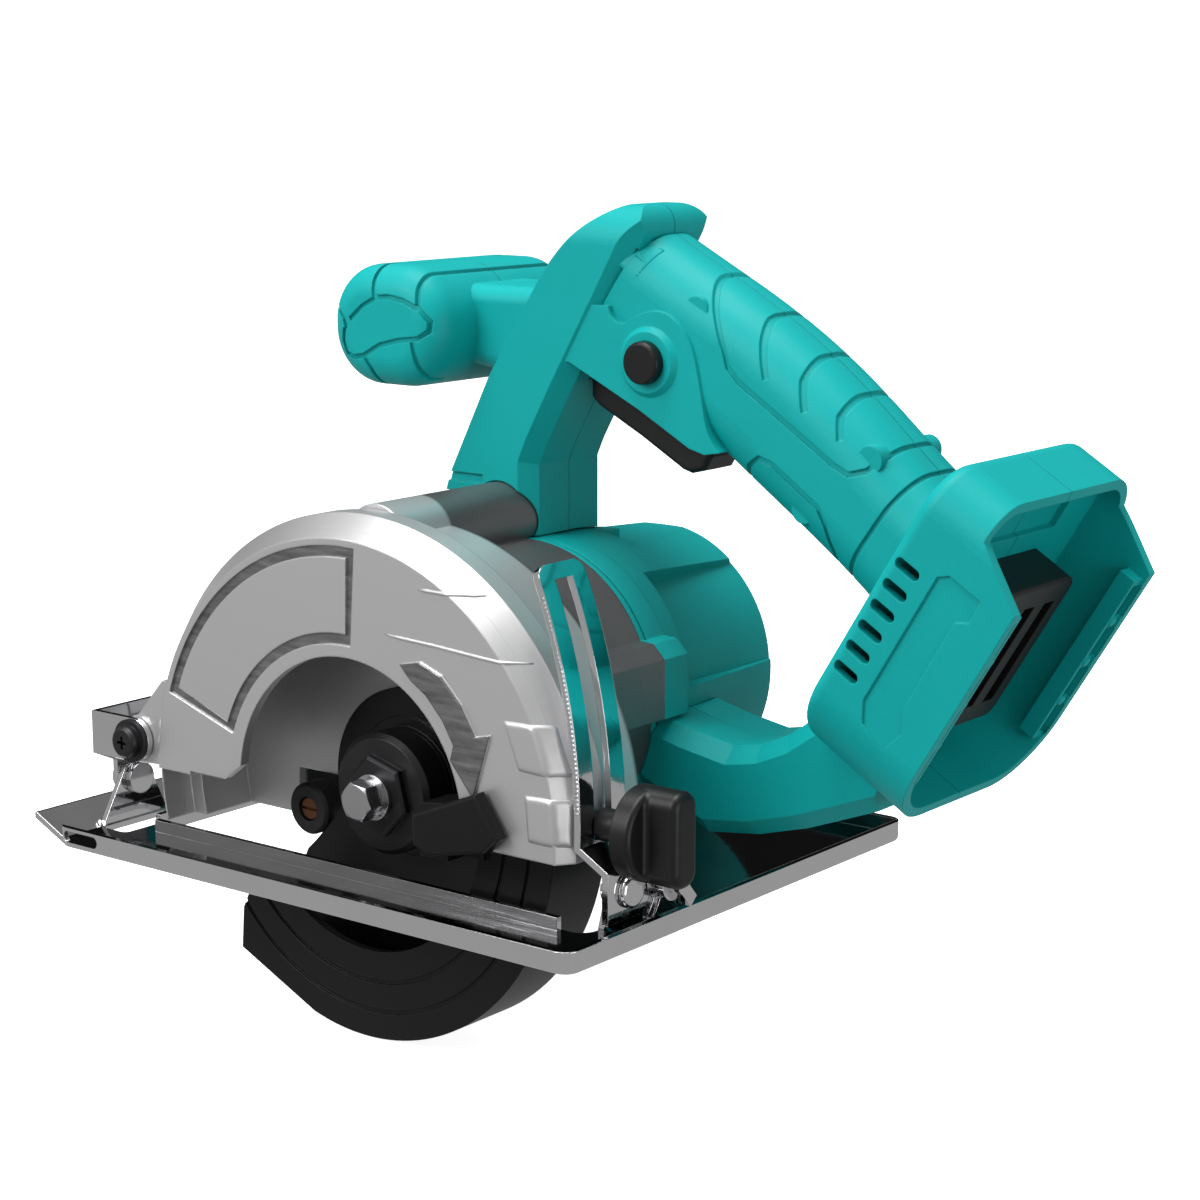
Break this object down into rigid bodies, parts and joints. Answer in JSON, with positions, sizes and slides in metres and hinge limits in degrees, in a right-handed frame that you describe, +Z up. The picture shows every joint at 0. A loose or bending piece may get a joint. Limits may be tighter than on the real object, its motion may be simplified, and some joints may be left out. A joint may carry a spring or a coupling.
{
  "type": "cordless circular saw",
  "caption": "Compact cordless circular saw with arched two-grip handle, open battery bay, lower blade guard, depth and bevel settings and chromed base plate, without blade or battery.",
  "frame": {"origin": "where the cutting plane meets the sole, straight below the arbor", "axes": "+X the way the saw cuts, +Y to the blade side, +Z up from the sole"},
  "size_m": [0.2875, 0.1582, 0.2297],
  "materials": {
    "teal_plastic": "satin moulded",
    "cast_grey": "painted die casting",
    "black_plastic": "satin moulded",
    "black_rubber": "matte",
    "black_steel": "black oxide",
    "bright_steel": "machined",
    "chrome_sheet": "bright plated",
    "copper": "drawn",
    "carbon": "sintered"
  },
  "bodies": {
    "saw_body": {"housing_left": "teal_plastic", "housing_right": "teal_plastic", "handle_screws": "black_steel", "motor_housing": "teal_plastic", "motor_screws": "black_steel", "blade_case": "cast_grey", "motor_can": "bright_steel", "field_magnets": "carbon", "brush_plate": "black_plastic", "carbon_brushes": "carbon", "rotor_bearings": "bright_steel", "spindle_bearings": "bright_steel", "bearing_plate": "cast_grey", "switch_body": "black_plastic", "trigger_pin": "bright_steel", "terminal_block": "black_plastic", "terminal_blades": "copper", "stop_bumper": "black_rubber", "bumper_screw": "copper", "pivot_screw": "black_steel", "guard_ring": "black_steel", "trigger_spring": "bright_steel"},
    "arbor": {"spindle": "bright_steel", "drive_gear": "bright_steel", "inner_flange": "bright_steel", "outer_flange": "black_steel", "bolt_washer": "bright_steel", "blade_bolt": "bright_steel"},
    "rotor": {"rotor_shaft": "bright_steel", "cooling_fan": "black_plastic", "armature": "bright_steel", "armature_windings": "copper", "commutator": "copper"},
    "guard": {"lower_guard": "black_plastic", "guard_spring": "bright_steel"},
    "depth_frame": {"front_strap": "chrome_sheet", "depth_guide": "chrome_sheet"},
    "base": {"base_plate": "chrome_sheet", "bevel_rivets": "chrome_sheet", "bevel_bolt": "chrome_sheet"},
    "wing_nut": {"bevel_wing_nut": "chrome_sheet"},
    "knob": {"depth_knob": "black_plastic"},
    "trigger_lever": {"trigger": "black_plastic"},
    "lock_off": {"lock_button": "black_plastic"}
  },
  "joints": [
    {"name": "blade_spin", "type": "hinge", "parent": "saw_body", "child": "arbor", "pos_m": [0, 0, 0.024], "axis": [0, 1, 0], "continuous": true},
    {"name": "rotor_spin", "type": "hinge", "parent": "saw_body", "child": "rotor", "pos_m": [-0.0106, -0.06, 0.04642], "axis": [0, 1, 0], "continuous": true},
    {"name": "lower_guard_swing", "type": "hinge", "parent": "saw_body", "child": "guard", "pos_m": [0, 0, 0.024], "axis": [0, 1, 0], "range_deg": [0, 115], "stiffness_Nm_per_rad": 0.06, "springref_deg": -40.11, "deforming": ["guard_spring"]},
    {"name": "depth_tilt", "type": "hinge", "parent": "saw_body", "child": "depth_frame", "pos_m": [0.083, 0.014, 0.03], "axis": [0, -1, 0], "range_deg": [0, 21.5]},
    {"name": "bevel_tilt", "type": "hinge", "parent": "depth_frame", "child": "base", "pos_m": [0, 0.012, 0.014], "axis": [1, 0, 0], "range_deg": [0, 45]},
    {"name": "bevel_nut_turn", "type": "hinge", "parent": "base", "child": "wing_nut", "pos_m": [-0.093, 0.0002, 0.014], "axis": [1, 0, 0], "range_deg": [0, 40]},
    {"name": "depth_knob_turn", "type": "hinge", "parent": "saw_body", "child": "knob", "pos_m": [-0.09, 0.0115, 0.03], "axis": [1, 0, 0], "range_deg": [0, 180]},
    {"name": "trigger_pull", "type": "hinge", "parent": "saw_body", "child": "trigger_lever", "pos_m": [-0.029, -0.062, 0.1418], "axis": [0, 1, 0], "range_deg": [0, 8], "stiffness_Nm_per_rad": 0.6, "springref_deg": -11.46, "deforming": ["trigger_spring"]},
    {"name": "lock_off_press", "type": "slide", "parent": "saw_body", "child": "lock_off", "axis": [0, -1, 0], "range_m": [0, 0.0035], "stiffness_N_per_m": 400, "springref_m": -0.004}
  ],
  "couplings": [
    {"joint": "rotor_spin", "follows": "blade_spin", "ratio": -2.875}
  ]
}
